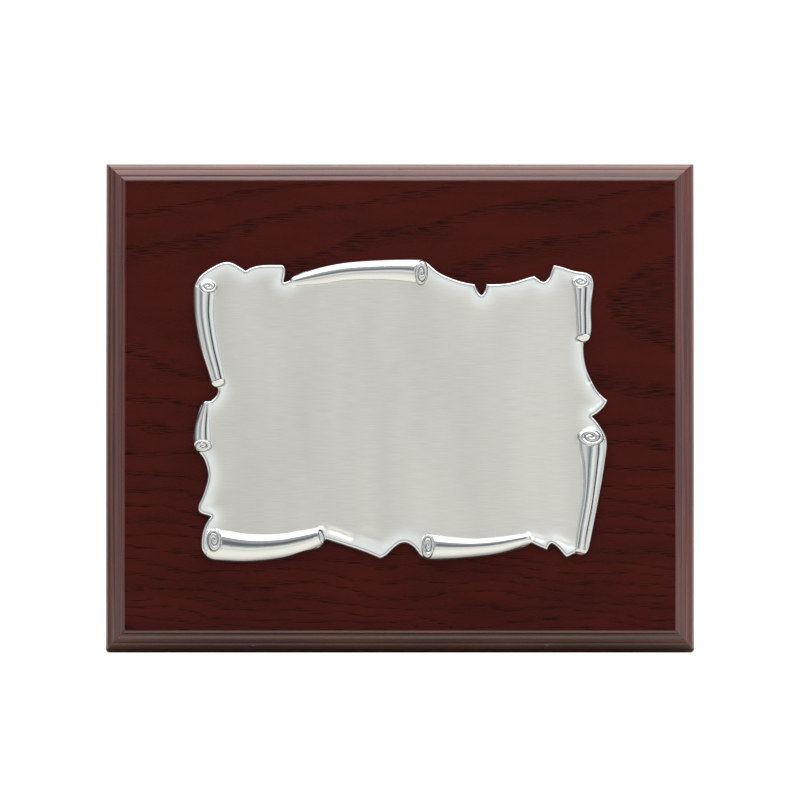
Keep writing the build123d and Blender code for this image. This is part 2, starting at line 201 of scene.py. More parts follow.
def makeWorld(setup):
    world = bpy.data.worlds.new("studio")
    scene.world = world
    world.use_nodes = True
    tree = world.node_tree
    tree.nodes.clear()
    direction = addNode(tree, "ShaderNodeTexCoord").outputs["Generated"]
    x, y, z = addNode(tree, "ShaderNodeSeparateXYZ", {0: direction}).outputs
    sideways = addNode(tree, "ShaderNodeMath", {0: x}, operation="ABSOLUTE").outputs[0]
    towards = addNode(tree, "ShaderNodeMath", {0: y, 1: -1.0}, operation="MULTIPLY").outputs[0]
    before = addNode(tree, "ShaderNodeMath", {0: towards, 1: 0.0}, operation="GREATER_THAN").outputs[0]

    turn = addNode(tree, "ShaderNodeMath", {0: x, 1: towards}, operation="ARCTAN2")
    share = addNode(tree, "ShaderNodeMapRange", {
        "Value": turn.outputs[0], "From Min": -math.pi, "From Max": math.pi})
    ring = addNode(tree, "ShaderNodeValToRGB", {"Fac": share.outputs[0]})
    stops = ring.color_ramp.elements
    while len(stops) < len(setup["around"]):
        stops.new(0.5)
    for stop, (degrees, radiance) in zip(stops, setup["around"]):
        stop.position = (degrees + 180) / 360
        stop.color = [radiance / setup["brightest"]] * 3 + [1]
    seen = addNode(tree, "ShaderNodeMath", {0: ring.outputs[0], 1: setup["brightest"]},
                   operation="MULTIPLY").outputs[0]
    start, end = setup["ceilingEdge"]
    overhead = addNode(tree, "ShaderNodeMapRange", {
        "Value": z, "From Min": start, "From Max": end}, interpolation_type="SMOOTHSTEP")
    seen = addNode(tree, "ShaderNodeMix", {
        "Factor": overhead.outputs[0], "A": seen, "B": setup["ceiling"]}, data_type="FLOAT").outputs[0]
    for cloth in setup["cloths"]:
        softSide, softFoot, softHead = cloth["soft"]
        mask = before
        for value, outside, within in ((sideways, cloth["halfWidth"] + softSide, cloth["halfWidth"]),
                                       (z, cloth["foot"] - softFoot, cloth["foot"]),
                                       (z, cloth["head"] + softHead, cloth["head"])):
            edge = addNode(tree, "ShaderNodeMapRange", {
                "Value": value, "From Min": outside, "From Max": within}, interpolation_type="SMOOTHSTEP")
            mask = addNode(tree, "ShaderNodeMath", {
                0: mask, 1: edge.outputs[0]}, operation="MULTIPLY").outputs[0]
        seen = addNode(tree, "ShaderNodeMix", {
            "Factor": mask, "A": seen, "B": cloth["radiance"]}, data_type="FLOAT").outputs[0]
    lit = addNode(tree, "ShaderNodeBackground", {"Color": seen, "Strength": 1.0})
    plain = addNode(tree, "ShaderNodeBackground", {"Color": (1, 1, 1, 1), "Strength": setup["backdrop"]})
    fromCamera = addNode(tree, "ShaderNodeLightPath").outputs["Is Camera Ray"]
    both = addNode(tree, "ShaderNodeMixShader", {0: fromCamera, 1: lit.outputs[0], 2: plain.outputs[0]})
    addNode(tree, "ShaderNodeOutputWorld", {"Surface": both.outputs[0]})


def addSoftbox(name, size, place, radiance, target):
    data = bpy.data.lights.new(name, "AREA")
    data.shape = "RECTANGLE"
    data.size, data.size_y = size
    data.energy = radiance * math.pi * size[0] * size[1]  # watts that give that radiance
    light = bpy.data.objects.new(name, data)
    scene.collection.objects.link(light)
    light.location = place
    light.rotation_euler = (Vector(target) - Vector(place)).to_track_quat("-Z", "Y").to_euler()
    return light


def makeFloor(setup):
    deselectAll()
    bpy.ops.mesh.primitive_plane_add(size=setup["floorSize"], location=(0, 0, 0))
    floor = bpy.context.object
    floor.name = "studioFloor"
    material, tree, shader = newMaterial("paintedStudioFloor")  # matt white, slightly warm
    place = addNode(tree, "ShaderNodeTexCoord").outputs["Object"]
    mottle = addNode(tree, "ShaderNodeTexNoise", {"Vector": place, "Scale": 3.0, "Detail": 2.0})
    tone = addNode(tree, "ShaderNodeValToRGB", {"Fac": mottle.outputs["Fac"]})
    setColours(tone, [(0.3, "#8b8882"), (0.7, "#918e88")])
    # the floor gives off a glow round the board in place of lamps that light it from below, and the
    # camera sees it nearly white, whatever falls on it
    squashed = addNode(tree, "ShaderNodeMapping", {"Vector": place, "Scale": (0.3, 1, 1)})
    far = addNode(tree, "ShaderNodeVectorMath", {0: squashed.outputs[0]}, operation="LENGTH")
    start, end = setup["floorGlowEdge"]
    glow = addNode(tree, "ShaderNodeMapRange", {
        "Value": far.outputs["Value"], "From Min": start, "From Max": end,
        "To Min": 0.0, "To Max": setup["floorGlow"]}, interpolation_type="SMOOTHSTEP")
    fromCamera = addNode(tree, "ShaderNodeLightPath").outputs["Is Camera Ray"]
    strength = addNode(tree, "ShaderNodeMix", {
        "Factor": fromCamera, "A": glow.outputs[0], "B": setup["floorSeen"]}, data_type="FLOAT")
    setInputs(shader, {"Base Color": tone.outputs[0], "Emission Strength": strength.outputs[0],
                       "Emission Color": linear("#fff6ea"), "Roughness": 0.9})
    floor.data.materials.append(material)


scene.view_settings.view_transform = "Standard"
makeWorld(studio)
makeFloor(studio)
addSoftbox("overheadSoftbox", **studio["topBox"], target=faceMiddle)
for fill in ("topFill", "rightFill"):
    addSoftbox(fill, **studio[fill], target=faceMiddle).visible_glossy = False
print("camera, light and floor made")


# Sizes in millimetres: across and up on the plate, from its middle, and out from the board's face.
plateSizes = {
    "drop": 2.0,  # plate's middle below the board's
    "rise": 2.4,  # flat field above the wood
    "skin": 1.1,  # sheet over the hollow
    "rimGap": 0.3,
    "rimRadius": 1.15,
    "rimAngles": (16, 28, 40, 52, 64, 77, 90),  # rows of mesh round it, and two more inside it
    "rimRows": [1.9, 2.4],
    "borderLift": 0.45,  # the sheet sweeps up towards its edges
    "borderSink": 0.27,  # and all of it lies this much lower
    "borderWidth": 13.0,
    "outlineStep": 0.4,
    "cornerTurn": 24.0,  # degrees; sharper turns of the outline stay corners
    "fineStep": 0.95,  # mesh of the border, between these distances from the edge
    "fineStart": 0.5,
    "fineReach": 19.0,
    "coarseStep": 2.2,  # mesh of the field, from here inwards
    "coarseStart": 18.0,
    "polishStart": 0.4,  # polish fades from here over this width
    "polishedWidth": 9.0,
    "polishAbove": 0.05,  # what stands this far over the field is all polished
    "rimLine": 1.55,  # painted shade line inside the rim: its distance from the edge, width and darkness
    "rimLineWidth": 0.3,
    "rimLineDark": 0.35,
    # mesh points closer than this to an earlier group's are left out
    "pointGaps": {"ends": 0.07, "rim": 0.09, "rolls": 0.14, "border": 0.45, "field": 0.9},
}

# Each roll from its narrow end to its open end: crest's place, then how far the roll reaches inwards,
# outwards, and how wide a second turn shows beside it. rise is the crest above the field at both ends.
# The open end is an oval disc with the sheet's spiral: middle, half across, half along the roll.
plateRolls = [
    {"lip": "inner", "rise": (1.9, 2.9),  # upper left
     "line": [(-93.2, 12.8, 2.8, 2.6, 1.9), (-95.1, 20, 3.1, 3.0, 2.1), (-97.9, 30, 3.5, 3.3, 2.4),
              (-99.9, 40, 3.7, 3.5, 2.5), (-101.1, 50, 3.9, 3.75, 2.6), (-101.1, 62.5, 4.5, 4.2, 3.0)],
     "disc": (-97.7, 62.5, 4.5, 3.1), "cap": (-92.8, 13.0, 3.7, 1.9)},
    {"lip": None, "rise": (1.3, 3.1),  # top
     "line": [(-53.5, 65.4, 2.6, 2.9, 0), (-40, 68.1, 4.4, 4.4, 0), (-28, 70.0, 4.6, 4.9, 0),
              (-14, 70.9, 5.2, 5.2, 0), (0, 71.2, 6.2, 5.4, 0), (11, 70.4, 6.7, 6.1, 0)],
     "disc": (11.0, 69.6, 6.2, 3.2), "cap": None},
    {"lip": "outer", "rise": (2.1, 2.7),  # upper right
     "line": [(91.9, 36.2, 1.9, 2.9, 2.6), (91.8, 44, 2.0, 2.9, 2.7), (91.6, 52, 2.3, 3.0, 2.9),
              (91.9, 65, 4.0, 3.3, 3.0)],
     "disc": (92.0, 65.0, 4.35, 2.9), "cap": (93.6, 36.2, 3.8, 1.9)},
    {"lip": "outer", "rise": (1.6, 3.4),  # lower right
     "line": [(90.4, -71.5, 1.5, 3.6, 2.2), (91.8, -62, 1.8, 3.7, 2.4), (94.0, -50, 1.9, 3.8, 2.5),
              (95.2, -40, 2.0, 4.2, 2.8), (95.8, -30, 3.0, 4.9, 3.2), (96.6, -21, 5.3, 5.0, 3.6),
              (97.2, -14.5, 6.6, 4.8, 3.2)],
     "disc": (97.0, -14.5, 6.4, 4.3), "cap": None},
    {"lip": None, "rise": (1.8, 3.2),  # bottom right
     "line": [(64.5, -65.9, 2.1, 3.7, 0), (50, -68.6, 2.9, 5.2, 0), (38, -69.7, 3.2, 5.8, 0),
              (26, -69.6, 3.9, 6.9, 0), (14.2, -68.8, 4.6, 8.1, 0)],
     "disc": (14.2, -70.4, 6.3, 3.1), "cap": None},
    {"lip": None, "rise": (2.3, 3.6),  # bottom left
     "line": [(-40.8, -64.1, 3.4, 5.6, 0), (-50, -66.3, 4.0, 7.1, 0), (-60, -68.2, 4.3, 7.7, 0),
              (-70, -69.0, 4.7, 8.3, 0), (-80, -68.8, 5.1, 9.1, 0), (-93, -67.1, 5.4, 10.1, 0),
              (-98.2, -66.9, 5.0, 9.3, 0)],
     "disc": (-94.6, -67.4, 5.7, 3.5), "cap": (-39.9, -65.4, 3.6, 1.3)},
    {"lip": "inner", "rise": (1.0, 2.6),  # lower left
     "line": [(-99.3, 2.2, 1.3, 1.3, 1.0), (-100.4, -3, 2.2, 2.1, 1.6), (-101.6, -10, 3.1, 3.0, 2.2),
              (-101.6, -18.8, 3.3, 3.3, 2.4)],
     "disc": (-100.6, -19.0, 4.7, 3.0), "cap": None},
]

# Soft folds of the sheet: points along each, half width and height (below zero for a valley)
plateFolds = [
    {"line": [(13, 67), (22, 63), (30, 59.5), (36, 57), (40, 55.3), (46, 57), (58, 59.8), (74, 63)],
     "width": 3.0, "height": 0.13},
    {"line": [(-88, 66), (-84, 50), (-83, 30), (-84, 12), (-88, -8), (-90, -30), (-88, -50)],
     "width": 5.0, "height": 0.16},
    {"line": [(84, 62), (85, 45), (84, 30), (87, 12), (88, -4)], "width": 4.5, "height": 0.16},
    {"line": [(93.3, 32), (93.6, 24), (96.0, 14)], "width": 1.3, "height": -0.34},
    {"line": [(102, 4.4), (97.2, 0.6)], "width": 1.2, "height": -0.3},
    {"line": [(-35, -61.8), (-30, -63.4), (-25, -65.4)], "width": 1.3, "height": -0.5},
    {"line": [(67.5, -65), (72.5, -66.8)], "width": 1.2, "height": -0.45},
    {"line": [(79.5, -66.6), (86, -69.4)], "width": 1.9, "height": -0.5},
    {"line": [(-18, -64), (-8, -67.5)], "width": 3.0, "height": -0.3},
    {"line": [(-96, -49), (-92, -54)], "width": 2.0, "height": -0.25},
    {"line": [(62, 62.5), (71, 63.6)], "width": 1.6, "height": -0.22},
]


def plateOrigin():
    return faceMiddle - faceUp * plateSizes["drop"] * mm


def toPlate(points):
    # row frame, metres, to (across, up, out) on the plate, millimetres
    axes = np.array([(1, 0, 0), faceUp, faceOut], float)
    return (np.asarray(points, float) - np.array(plateOrigin())) @ axes.T / mm


def fromPlate(points):
    axes = np.array([(1, 0, 0), faceUp, faceOut], float)
    return np.asarray(points, float) * mm @ axes + np.array(plateOrigin())


def readPlateLoops():
    # the CAD plate's outline and the edge of its hollow, from the narrow face that looks at the board
    mesh = frame["nodes"]["scroll_plate"].data
    local = toPlate([v.co for v in mesh.vertices])
    keys, places = {}, []
    names = []
    for point in local:
        key = tuple(np.round(point, 3))
        if key not in keys:
            keys[key] = len(places)
            places.append(point[:2])
        names.append(keys[key])
    edges = {}
    for face in mesh.polygons:
        if all(abs(local[i][2] - plateSizes["rimGap"]) < 0.02 for i in face.vertices):
            ring = [names[i] for i in face.vertices]
            for a, b in zip(ring, ring[1:] + ring[:1]):
                if (b, a) in edges:
                    del edges[(b, a)]
                else:
                    edges[(a, b)] = True
    following = dict(edges.keys())
    loops = []
    while following:
        start, current = following.popitem()
        loop = [start]
        while current != start:
            loop.append(current)
            current = following.pop(current)
        loops.append(np.array([places[i] for i in loop]))
    loops.sort(key=lambda loop: np.ptp(loop[:, 0]) + len(loop) * 1e-6, reverse=True)
    return [anticlockwise(loop) for loop in loops[:2]]


def anticlockwise(loop):
    x, y = loop[:, 0], loop[:, 1]
    area = np.sum(x * np.roll(y, -1) - np.roll(x, -1) * y)
    return loop if area > 0 else loop[::-1]


def evenOutline(loop, step, cornerTurn):
    # the outline at even steps, its true corners kept and the stretches between them smoothed
    before = loop - np.roll(loop, 1, 0)
    after = np.roll(loop, -1, 0) - loop
    turn = np.degrees(np.abs(np.arctan2(before[:, 0] * after[:, 1] - before[:, 1] * after[:, 0],
                                        (before * after).sum(1))))
    corners = np.nonzero(turn > cornerTurn)[0]
    points = []
    for first, last in zip(corners, np.append(corners[1:], corners[0] + len(loop))):
        stretch = loop[np.arange(first, last + 1) % len(loop)]
        length = np.concatenate([[0], np.cumsum(np.linalg.norm(np.diff(stretch, axis=0), axis=1))])
        count = max(2, round(length[-1] / step))
        at = np.linspace(0, length[-1], count + 1)
        even = np.stack([np.interp(at, length, stretch[:, i]) for i in range(2)], 1)
        for _ in range(3):
            even[1:-1] = even[1:-1] / 2 + (even[:-2] + even[2:]) / 4
        points.extend(even[:-1])
    return np.array(points)


def treeOf(points):
    # finds the nearest of these points to any other
    tree = KDTree(len(points))
    for i, point in enumerate(points):
        tree.insert((*point, 0), i)
    tree.balance()
    return tree


class Outline:
    # distance to the plate's edge, and which points lie inside it
    def __init__(self, points):
        self.points = points
        self.tree = treeOf(points)

    def distance(self, at):
        nearest = np.array([self.tree.find((*p, 0))[1] for p in at])
        best = np.full(len(at), np.inf)
        for shift in (-2, -1, 0, 1):
            a = self.points[(nearest + shift) % len(self.points)]
            b = self.points[(nearest + shift + 1) % len(self.points)]
            along = np.clip(((at - a) * (b - a)).sum(1) / ((b - a) ** 2).sum(1), 0, 1)
            best = np.minimum(best, np.linalg.norm(at - a - along[:, None] * (b - a), axis=1))
        return best

    def inside(self, at):
        a, b = self.points, np.roll(self.points, -1, 0)
        found = np.zeros(len(at), bool)
        for start in range(0, len(at), 4000):
            p = at[start:start + 4000]
            crosses = (a[:, 1] > p[:, 1, None]) != (b[:, 1] > p[:, 1, None])
            slope = (b[:, 0] - a[:, 0]) / np.where(b[:, 1] == a[:, 1], 1e-9, b[:, 1] - a[:, 1])
            right = p[:, 0, None] < a[:, 0] + (p[:, 1, None] - a[:, 1]) * slope
            found[start:start + 4000] = (crosses & right).sum(1) % 2 == 1
        return found


def ease(x):
    x = np.clip(x, 0, 1)
    return x * x * (3 - 2 * x)


def splineThrough(stations, step):
    # Catmull-Rom curve through the stations, every column of them, at about even steps
    s = np.array(stations, float)
    s = np.vstack([2 * s[0] - s[1], s, 2 * s[-1] - s[-2]])
    pieces = []
    for p0, p1, p2, p3 in zip(s, s[1:], s[2:], s[3:]):
        count = max(2, int(np.linalg.norm(p2[:2] - p1[:2]) / step))
        t = np.linspace(0, 1, count, endpoint=False)[:, None]
        pieces.append(0.5 * (2 * p1 + (p2 - p0) * t + (2 * p0 - 5 * p1 + 4 * p2 - p3) * t ** 2
                             + (3 * p1 - p0 - 3 * p2 + p3) * t ** 3))
    pieces.append(s[-2:-1])
    return np.vstack(pieces)


def prepareRoll(roll):
    line = splineThrough(roll["line"], 0.3)
    heading = np.gradient(line[:, :2], axis=0)
    heading /= np.linalg.norm(heading, axis=1)[:, None]
    inwards = np.stack([-heading[:, 1], heading[:, 0]], 1)
    middle = len(line) // 2
    if inwards[middle] @ line[middle, :2] > 0:
        inwards = -inwards  # towards the plate's middle
    run = np.concatenate([[0], np.cumsum(np.linalg.norm(np.diff(line[:, :2], axis=0), axis=1))])
    return {**roll, "curve": line, "heading": heading, "inwards": inwards, "run": run,
            "discHeading": heading[-1], "capHeading": -heading[0]}


def nearRoll(roll, at):
    # for each point: nearest station, distance inwards from the crest, distance past the ends
    curve = roll["curve"]
    best = np.full(len(at), np.inf)
    index = np.zeros(len(at), int)
    for i in range(len(curve)):
        d = ((at - curve[i, :2]) ** 2).sum(1)
        closer = d < best
        best[closer], index[closer] = d[closer], i
    offset = at - curve[index, :2]
    across = (offset * roll["inwards"][index]).sum(1)
    along = (offset * roll["heading"][index]).sum(1)
    return index, across, along


def ovalPlace(at, oval, heading):
    # place on an end disc: across it and along the roll, as parts of its half sizes
    side = np.array([-heading[1], heading[0]])
    offset = at - np.array(oval[:2])
    return (offset @ side) / oval[2], (offset @ heading) / oval[3]


rollShape = {
    "root": 0.25,  # rolls start this far below the field on their inner side
    "outerBase": 0.75,  # and at this height above the wood on their outer side
    "lipShare": 0.5,  # second turn's height as a part of the crest's
    "startRound": 2.0,  # rounded narrow end
    "overhang": 1.1,  # the outer side stops short of upright by this much of its width
    "creasePlace": 0.9,  # the crease between the two turns, a dip with painted shade in it, as a part of the first turn's width
    "creaseWidth": 0.17,
    "creaseDepth": 0.7,
    "lipOverlap": 0.7,  # the second turn starts this much of its width inside the first
    "lipDrop": 0.3,
}

discShape = {
    "height": 0.98,  # at the roll, as a part of the crest, and how much it falls from there
    "fall": 0.18,
    "curvedFall": 0.14,
    "turns": 1.9,
    "firstTurn": 0.15,
    "relief": 0.6,  # of the spiral, on a disc at least this wide to each side
    "reliefWidth": 6,
    "ridgeRoundness": 0.6,
    "ridgeLevel": 0.85,
    "roundFrom": 0.8,  # its edge is rounded from this part of its radius outwards
    "roundDrop": 0.3,
    "line": 0.42,  # width of the painted shade line in the groove between the spiral's turns, and where on the radius it ends
    "lineEnd": 0.88,
    "lineFade": 0.1,
    "outline": 0.65,  # how dark the painted shadow line round the disc is; it starts at a radius and ends at another,
    "outlineEdges": (0.92, 0.06, 1.09, 0.06),  # each with the width it fades over
}

capShape = {"height": 0.85, "fall": 0.65, "roundFrom": 0.7, "roundWidth": 0.3, "roundDrop": 0.25,
            "outlineEdges": (0.85, 0.12, 1.2, 0.14)}


def outlineMask(radius, edges):
    # painted shadow line round a raised end facet
    start, startFade, end, endFade = edges
    return discShape["outline"] * ease((radius - start) / startFade) * ease((end - radius) / endFade)


def archHeight(q):
    return np.sqrt(np.clip(1 - q ** 2, 0, 1))


def rollSurface(roll, at, field):
    # height of one roll at the points, and the painted shade in its crease there
    index, across, along = nearRoll(roll, at)
    stations = roll["curve"][index]
    inner, outer, lip = stations[:, 2], stations[:, 3], stations[:, 4]
    share = roll["run"][index] / roll["run"][-1]
    crest = roll["rise"][0] + (roll["rise"][1] - roll["rise"][0]) * share
    past = np.where(index == 0, np.maximum(-along, 0), np.where(index == len(roll["curve"]) - 1,
                                                                 np.maximum(along, 0), 0))
    startEnd = np.where(index == 0, past / rollShape["startRound"], 0)
    ended = (index == len(roll["curve"]) - 1) & (along > 0.02)
    crest = crest * archHeight(np.clip(startEnd, 0, 1))
    root = field - rollShape["root"]
    lipInner = roll["lip"] == "inner"
    lipOuter = roll["lip"] == "outer"
    outerRoot = root - rollShape["lipDrop"] if lipOuter else np.minimum(rollShape["outerBase"], root)
    innerSide = root + (field + crest - root) * archHeight(across / inner)
    overhang = 1.0 if lipOuter else rollShape["overhang"]
    outerSide = outerRoot + (field + crest - outerRoot) * archHeight(across / (outer * overhang))
    height = np.where(across > 0, innerSide, outerSide)
    gone = (across > inner) | (across < -outer) | ended | (startEnd >= 1)
    height = np.where(gone, -np.inf, height)
    dark = np.zeros(len(at))
    if roll["lip"]:
        reach = across if lipInner else -across
        edge = inner if lipInner else outer
        base = root if lipInner else np.minimum(rollShape["outerBase"], root)
        start = edge - rollShape["lipOverlap"] * lip
        q = (reach - start) / ((1 + rollShape["lipOverlap"]) * lip)
        lipCrest = field + crest * rollShape["lipShare"]
        second = base + (lipCrest - base) * archHeight(np.clip(q, 0, 1))
        lipGone = (q < 0) | (q > 1) | ended | (startEnd >= 1)
        height = np.maximum(height, np.where(lipGone, -np.inf, second))
        crease = (reach - rollShape["creasePlace"] * edge) / rollShape["creaseWidth"]
        height = height - rollShape["creaseDepth"] * np.exp(-crease ** 2)
        # painted shade in the crease
        dark = np.exp(-crease ** 2)
    return height, dark


def discSurface(roll, at, field):
    # the open end: an oval facet that leans out of the roll's end, with the rolled sheet's spiral
    side, along = ovalPlace(at, roll["disc"], roll["discHeading"])
    radius = np.hypot(side, along)
    angle = np.arctan2(along, side) / (2 * math.pi)
    crest = roll["rise"][1]
    outwards = (along + 1) / 2
    slope = discShape["height"] - discShape["fall"] * outwards - discShape["curvedFall"] * ease(outwards)
    turn = radius * discShape["turns"] + angle + discShape["firstTurn"]
    ridge = np.abs(np.sin(math.pi * turn)) ** discShape["ridgeRoundness"] - discShape["ridgeLevel"]
    relief = discShape["relief"] * min(1.0, roll["disc"][2] / discShape["reliefWidth"]) * ridge
    past = (radius - discShape["roundFrom"]) / (1 - discShape["roundFrom"])
    rounding = discShape["roundDrop"] * crest * (1 - archHeight(np.clip(past, 0, 1)))
    height = field + crest * slope + relief - rounding
    # painted shade in the spiral's grooves, and a painted shadow line round the disc
    line = np.exp(-(np.sin(math.pi * turn) / discShape["line"]) ** 2)
    line = line * ease((discShape["lineEnd"] - radius) / discShape["lineFade"])
    outline = outlineMask(radius, discShape["outlineEdges"])
    return np.where(radius < 1, height, np.nan), np.maximum(line, outline)


def capSurface(roll, at, field):
    # the narrow end: a small plain facet that leans the other way
    side, along = ovalPlace(at, roll["cap"], roll["capHeading"])
    radius = np.hypot(side, along)
    crest = roll["rise"][0]
    rounding = capShape["roundDrop"] * crest * ease((radius - capShape["roundFrom"]) / capShape["roundWidth"])
    height = field + crest * (capShape["height"] - capShape["fall"] * (along + 1) / 2) - rounding
    # painted shadow line round the cap
    return np.where(radius < 1, height, np.nan), outlineMask(radius, capShape["outlineEdges"])


def foldHeights(at):
    total = np.zeros(len(at))
    for fold in plateFolds:
        line = np.array(fold["line"], float)
        best = np.full(len(at), np.inf)
        for a, b in zip(line, line[1:]):
            along = np.clip(((at - a) @ (b - a)) / ((b - a) @ (b - a)), 0, 1)
            best = np.minimum(best, np.linalg.norm(at - a - along[:, None] * (b - a), axis=1))
        total += fold["height"] * np.exp(-(best / fold["width"]) ** 2)
    return total


def plateHeights(at, edgeDistance, rolls):
    # height of the plate's front above the wood, how polished it is, and its painted shade in the creases,
    # inside the rim and round the roll ends
    radius = plateSizes["rimRadius"]
    border = 1 - ease(edgeDistance / plateSizes["borderWidth"])
    field = (plateSizes["rise"] + plateSizes["borderLift"] * border - plateSizes["borderSink"]
             + foldHeights(at))
    lowered = radius - np.sqrt(np.clip(radius ** 2 - np.clip(radius - edgeDistance, 0, radius) ** 2, 0, None))
    height = field - lowered
    polish = 1 - ease((edgeDistance - plateSizes["polishStart"]) / plateSizes["polishedWidth"])
    # painted shade: a thin dark line inside the rim
    rim = (edgeDistance - plateSizes["rimLine"]) / plateSizes["rimLineWidth"]
    dark = plateSizes["rimLineDark"] * np.exp(-rim ** 2)
    for roll in rolls:
        body, bodyDark = rollSurface(roll, at, field)
        higher = body > height
        height[higher], dark[higher] = body[higher], bodyDark[higher]
        ends = [discSurface(roll, at, field)] + ([capSurface(roll, at, field)] if roll["cap"] else [])
        for surface, surfaceDark in ends:
            on = ~np.isnan(surface)
            height[on], dark[on] = surface[on], surfaceDark[on]
            dark[~on] = np.maximum(dark, surfaceDark)[~on]  # the painted shadow line goes on round it, onto the field
        polish[height > field + plateSizes["polishAbove"]] = 1
    return height, polish, dark


def keepApart(groups, outline):
    # joins groups of points, most important first, leaving out those too close to an earlier one
    kept = [outline.points]
    for points, gap in groups:
        tree = treeOf(np.vstack(kept))
        free = np.array([tree.find((*p, 0))[2] > gap for p in points])
        kept.append(points[free])
    return np.vstack(kept)


def rimPoints(outline):
    points = outline.points
    tangent = np.roll(points, -1, 0) - np.roll(points, 1, 0)
    tangent /= np.linalg.norm(tangent, axis=1)[:, None]
    inward = np.stack([-tangent[:, 1], tangent[:, 0]], 1)
    radius = plateSizes["rimRadius"]
    depths = [radius * (1 - math.cos(math.radians(a))) for a in plateSizes["rimAngles"]]
    rings = []
    for depth in depths + plateSizes["rimRows"]:
        ring = points + inward * depth
        good = np.abs(outline.distance(ring) - depth) < 0.06
        rings.append(ring[good & outline.inside(ring)])
    return np.vstack(rings)


def rollPoints(roll):
    curve = roll["curve"]
    spots = []
    for i in range(0, len(curve), 2):
        inner, outer, lip = curve[i, 2:]
        reachIn = inner + (lip if roll["lip"] == "inner" else 0)
        reachOut = outer + (lip if roll["lip"] == "outer" else 0)
        angles = np.linspace(-math.pi / 2, math.pi / 2, 25)
        across = np.where(angles > 0, np.sin(angles) * reachIn, np.sin(angles) * reachOut)
        across = np.append(across, [reachIn + 0.12, reachIn + 0.4])
        if roll["lip"]:
            edge = inner if roll["lip"] == "inner" else -outer
            across = np.append(across, edge * rollShape["creasePlace"]
                               + rollShape["creaseWidth"] * np.array([-1.8, -1.1, -0.5, 0, 0.5, 1.1, 1.8]))
        spots.append(curve[i, :2] + np.sort(across)[:, None] * roll["inwards"][i])
    return np.vstack(spots)


def ovalPoints(oval, heading):
    side = np.array([-heading[1], heading[0]])
    spots = []
    for radius in (0.06, 0.16, 0.27, 0.38, 0.48, 0.58, 0.68, 0.77, 0.85, 0.91, 0.96, 0.99, 1.02, 1.1):
        for angle in np.linspace(0, 2 * math.pi, max(8, int(56 * radius)), endpoint=False):
            spots.append(np.array(oval[:2]) + side * oval[2] * radius * math.cos(angle)
                         + heading * oval[3] * radius * math.sin(angle))
    return np.array(spots)


def gridPoints(low, high, step):
    rows = np.arange(low[1], high[1], step * math.sqrt(3) / 2)
    return np.array([(x + (step / 2 if i % 2 else 0), y)
                     for i, y in enumerate(rows) for x in np.arange(low[0], high[0], step)])


def platePoints(edge, outline, rolls):
    # mesh points, crowded on the rolls, their ends and the rim, and wider apart on the field
    low, high = edge.min(0), edge.max(0)
    fine = gridPoints(low, high, plateSizes["fineStep"])
    fine = fine[outline.inside(fine)]
    away = outline.distance(fine)
    fine = fine[(away > plateSizes["fineStart"]) & (away < plateSizes["fineReach"])]
    coarse = gridPoints(low, high, plateSizes["coarseStep"])
    coarse = coarse[outline.inside(coarse)]
    coarse = coarse[outline.distance(coarse) > plateSizes["coarseStart"]]
    onRolls = np.vstack([rollPoints(roll) for roll in rolls])
    onEnds = []
    for roll in rolls:
        onEnds.append(ovalPoints(roll["disc"], roll["discHeading"]))
        if roll["cap"]:
            onEnds.append(ovalPoints(roll["cap"], roll["capHeading"]))
    onEnds = np.vstack(onEnds)
    gaps = plateSizes["pointGaps"]
    return keepApart([(onEnds[outline.inside(onEnds)], gaps["ends"]), (rimPoints(outline), gaps["rim"]),
                      (onRolls[outline.inside(onRolls)], gaps["rolls"]), (fine, gaps["border"]),
                      (coarse, gaps["field"])], outline)


def meshFront(points, rim, outline):
    # the sheet's front: triangles between the points, as far as the outline
    verts, _, faces, _, _, _ = delaunay_2d_cdt([Vector(p) for p in points], rim, [], 0, 1e-5)
    places = np.array([tuple(v) for v in verts])
    middles = np.array([places[list(face)].mean(0) for face in faces])
    faces = [face for face, inner in zip(faces, outline.inside(middles)) if inner]
    used = sorted({i for face in faces for i in face})
    renamed = {old: new for new, old in enumerate(used)}
    return places[used], [tuple(renamed[i] for i in face) for face in faces]


def meshBehind(edge, hollow, rim, rimNames, outline, base):
    # wall down from the rim, ring that faces the board, and the hollow behind the field
    count = len(edge)
    lowerNames = [base + i for i in range(count)]
    ringNames = [base + count + i for i in range(len(hollow))]
    ceilingNames = [base + count + len(hollow) + i for i in range(len(hollow))]
    hollowRim = [(i, (i + 1) % len(hollow)) for i in range(len(hollow))]
    faces = [(rimNames[i], lowerNames[i], lowerNames[j], rimNames[j]) for i, j in rim]
    faces += [(ringNames[j], ringNames[i], ceilingNames[i], ceilingNames[j]) for i, j in hollowRim]
    flat = np.vstack([edge, hollow])
    flatEdges = rim + [(count + i, count + j) for i, j in hollowRim]
    _, _, flatFaces, _, _, _ = delaunay_2d_cdt([Vector(p) for p in flat], flatEdges, [], 0, 1e-5)
    middles = np.array([flat[list(face)].mean(0) for face in flatFaces])
    flatNames = lowerNames + ringNames
    for face, within, behind in zip(flatFaces, outline.inside(middles), Outline(hollow).inside(middles)):
        if within and not behind:
            faces.append(tuple(flatNames[i] for i in reversed(face)))
        elif behind:
            faces.append(tuple(ceilingNames[i - count] for i in reversed(face)))
    return faces


